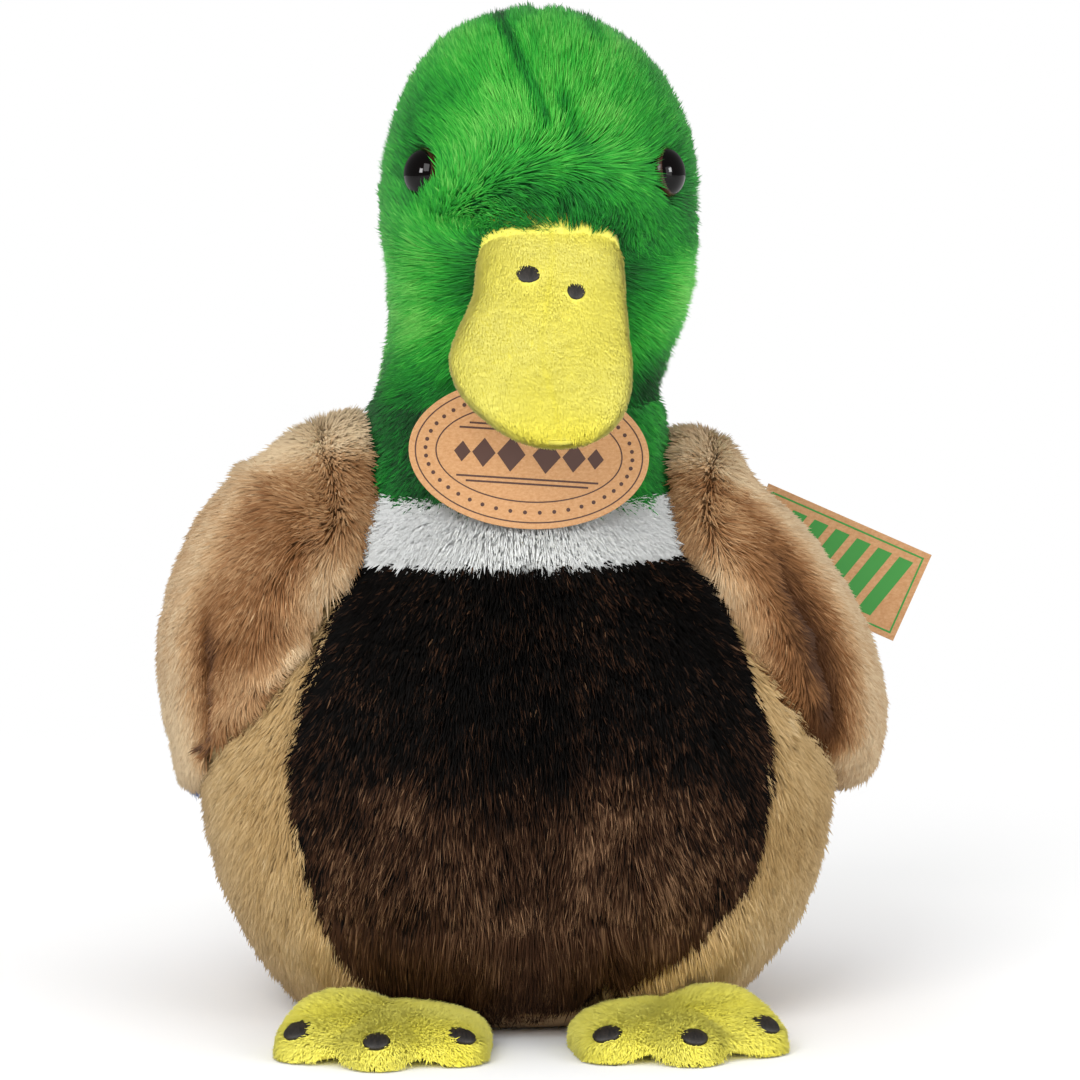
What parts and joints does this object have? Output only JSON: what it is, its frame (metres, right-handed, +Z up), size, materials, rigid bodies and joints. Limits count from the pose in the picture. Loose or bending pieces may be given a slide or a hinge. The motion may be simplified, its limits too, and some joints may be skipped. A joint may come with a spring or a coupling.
{
  "type": "plush duck",
  "caption": "Stuffed mallard drake that sits upright on a flat base, with liftable wings, a head that turns and nods, webbed feet and two hang cards",
  "frame": {"origin": "centre of the flat base that the duck sits on", "axes": "+Z up, bill towards -Y, the duck's own left side at +X"},
  "size_m": [0.1743, 0.1758, 0.2108],
  "materials": {
    "green_plush": "short green pile, brushed up and back",
    "white_plush": "white pile",
    "dark_plush": "long dark brown pile",
    "tan_plush": "long tan pile",
    "brown_plush": "long mid brown pile with paler tips",
    "feather_plush": "dark brown pile",
    "blue_plush": "dull blue pile",
    "yellow_plush": "very short yellow pile",
    "lining_cloth": "plain woven lining",
    "fibre_fill": "loose white polyester fibre",
    "pellet_cloth": "woven bag filled with plastic pellets",
    "eye_plastic": "polished, near black",
    "washer_plastic": "as moulded",
    "kraft_card": "uncoated brown card",
    "clear_plastic": "thin clear fastener"
  },
  "bodies": {
    "duck_body": {"body_stuffing": "fibre_fill", "pellet_bag": "pellet_cloth", "base_panel": "tan_plush", "breast_panel": "dark_plush", "flank_left": "tan_plush", "flank_right": "tan_plush", "back_left": "brown_plush", "back_right": "brown_plush", "neck_ring": "white_plush"},
    "neck": {"neck_cover": "green_plush", "neck_stuffing": "fibre_fill", "neck_card_pin": "clear_plastic"},
    "head": {"head_cover_left": "green_plush", "head_cover_right": "green_plush", "head_stuffing": "fibre_fill", "bill_upper": "yellow_plush", "bill_lower": "yellow_plush", "eye_left": "eye_plastic", "eye_right": "eye_plastic", "eye_washer_left": "washer_plastic", "eye_washer_right": "washer_plastic"},
    "wing_left": {"wing_lining_left": "lining_cloth", "wing_stuffing_left": "fibre_fill", "wing_cover_left": "brown_plush", "wing_stripe_left": "blue_plush", "wing_tip_left": "feather_plush", "side_card_pin": "clear_plastic"},
    "wing_right": {"wing_lining_right": "lining_cloth", "wing_stuffing_right": "fibre_fill", "wing_cover_right": "brown_plush", "wing_stripe_right": "blue_plush", "wing_tip_right": "feather_plush"},
    "tail": {"tail_upper": "dark_plush", "tail_lower": "tan_plush"},
    "foot_left": {"foot_upper_left": "yellow_plush", "foot_sole_left": "yellow_plush"},
    "foot_right": {"foot_upper_right": "yellow_plush", "foot_sole_right": "yellow_plush"},
    "neck_card": {"neck_card": "kraft_card"},
    "side_card": {"side_card": "kraft_card"}
  },
  "joints": [
    {"name": "head_turn", "type": "hinge", "parent": "duck_body", "child": "neck", "pos_m": [0, 0, 0.117], "axis": [0, 0, 1], "range_deg": [-30, 30], "stiffness_Nm_per_rad": 0.3},
    {"name": "head_nod", "type": "hinge", "parent": "neck", "child": "head", "pos_m": [0, 0, 0.117], "axis": [-1, 0, 0], "range_deg": [-8, 12], "stiffness_Nm_per_rad": 0.6, "deforming": ["neck_cover", "neck_stuffing"]},
    {"name": "wing_left_lift", "type": "hinge", "parent": "duck_body", "child": "wing_left", "pos_m": [0.035, 0, 0.123], "axis": [0, -1, 0], "range_deg": [0, 70]},
    {"name": "wing_right_lift", "type": "hinge", "parent": "duck_body", "child": "wing_right", "pos_m": [-0.035, 0, 0.123], "axis": [0, 1, 0], "range_deg": [0, 70]},
    {"name": "tail_lift", "type": "hinge", "parent": "duck_body", "child": "tail", "pos_m": [0, 0.062, 0.05], "axis": [1, 0, 0], "range_deg": [-8, 20], "stiffness_Nm_per_rad": 0.05, "deforming": ["tail_upper", "tail_lower"]},
    {"name": "foot_left_lift", "type": "hinge", "parent": "duck_body", "child": "foot_left", "pos_m": [0.029, -0.0375, 0.0012], "axis": [-1, 0, 0], "range_deg": [0, 30], "stiffness_Nm_per_rad": 0.05, "deforming": ["foot_upper_left"]},
    {"name": "foot_right_lift", "type": "hinge", "parent": "duck_body", "child": "foot_right", "pos_m": [-0.029, -0.0375, 0.0012], "axis": [-1, 0, 0], "range_deg": [0, 30], "stiffness_Nm_per_rad": 0.05, "deforming": ["foot_upper_right"]},
    {"name": "neck_card_swing", "type": "hinge", "parent": "neck", "child": "neck_card", "pos_m": [0, -0.041, 0.1248], "axis": [0, 1, 0], "range_deg": [-20, 20]},
    {"name": "side_card_swing", "type": "hinge", "parent": "wing_left", "child": "side_card", "pos_m": [0.05488, 0.05074, 0.08777], "axis": [0, -1, 0], "range_deg": [-12, 40]}
  ]
}
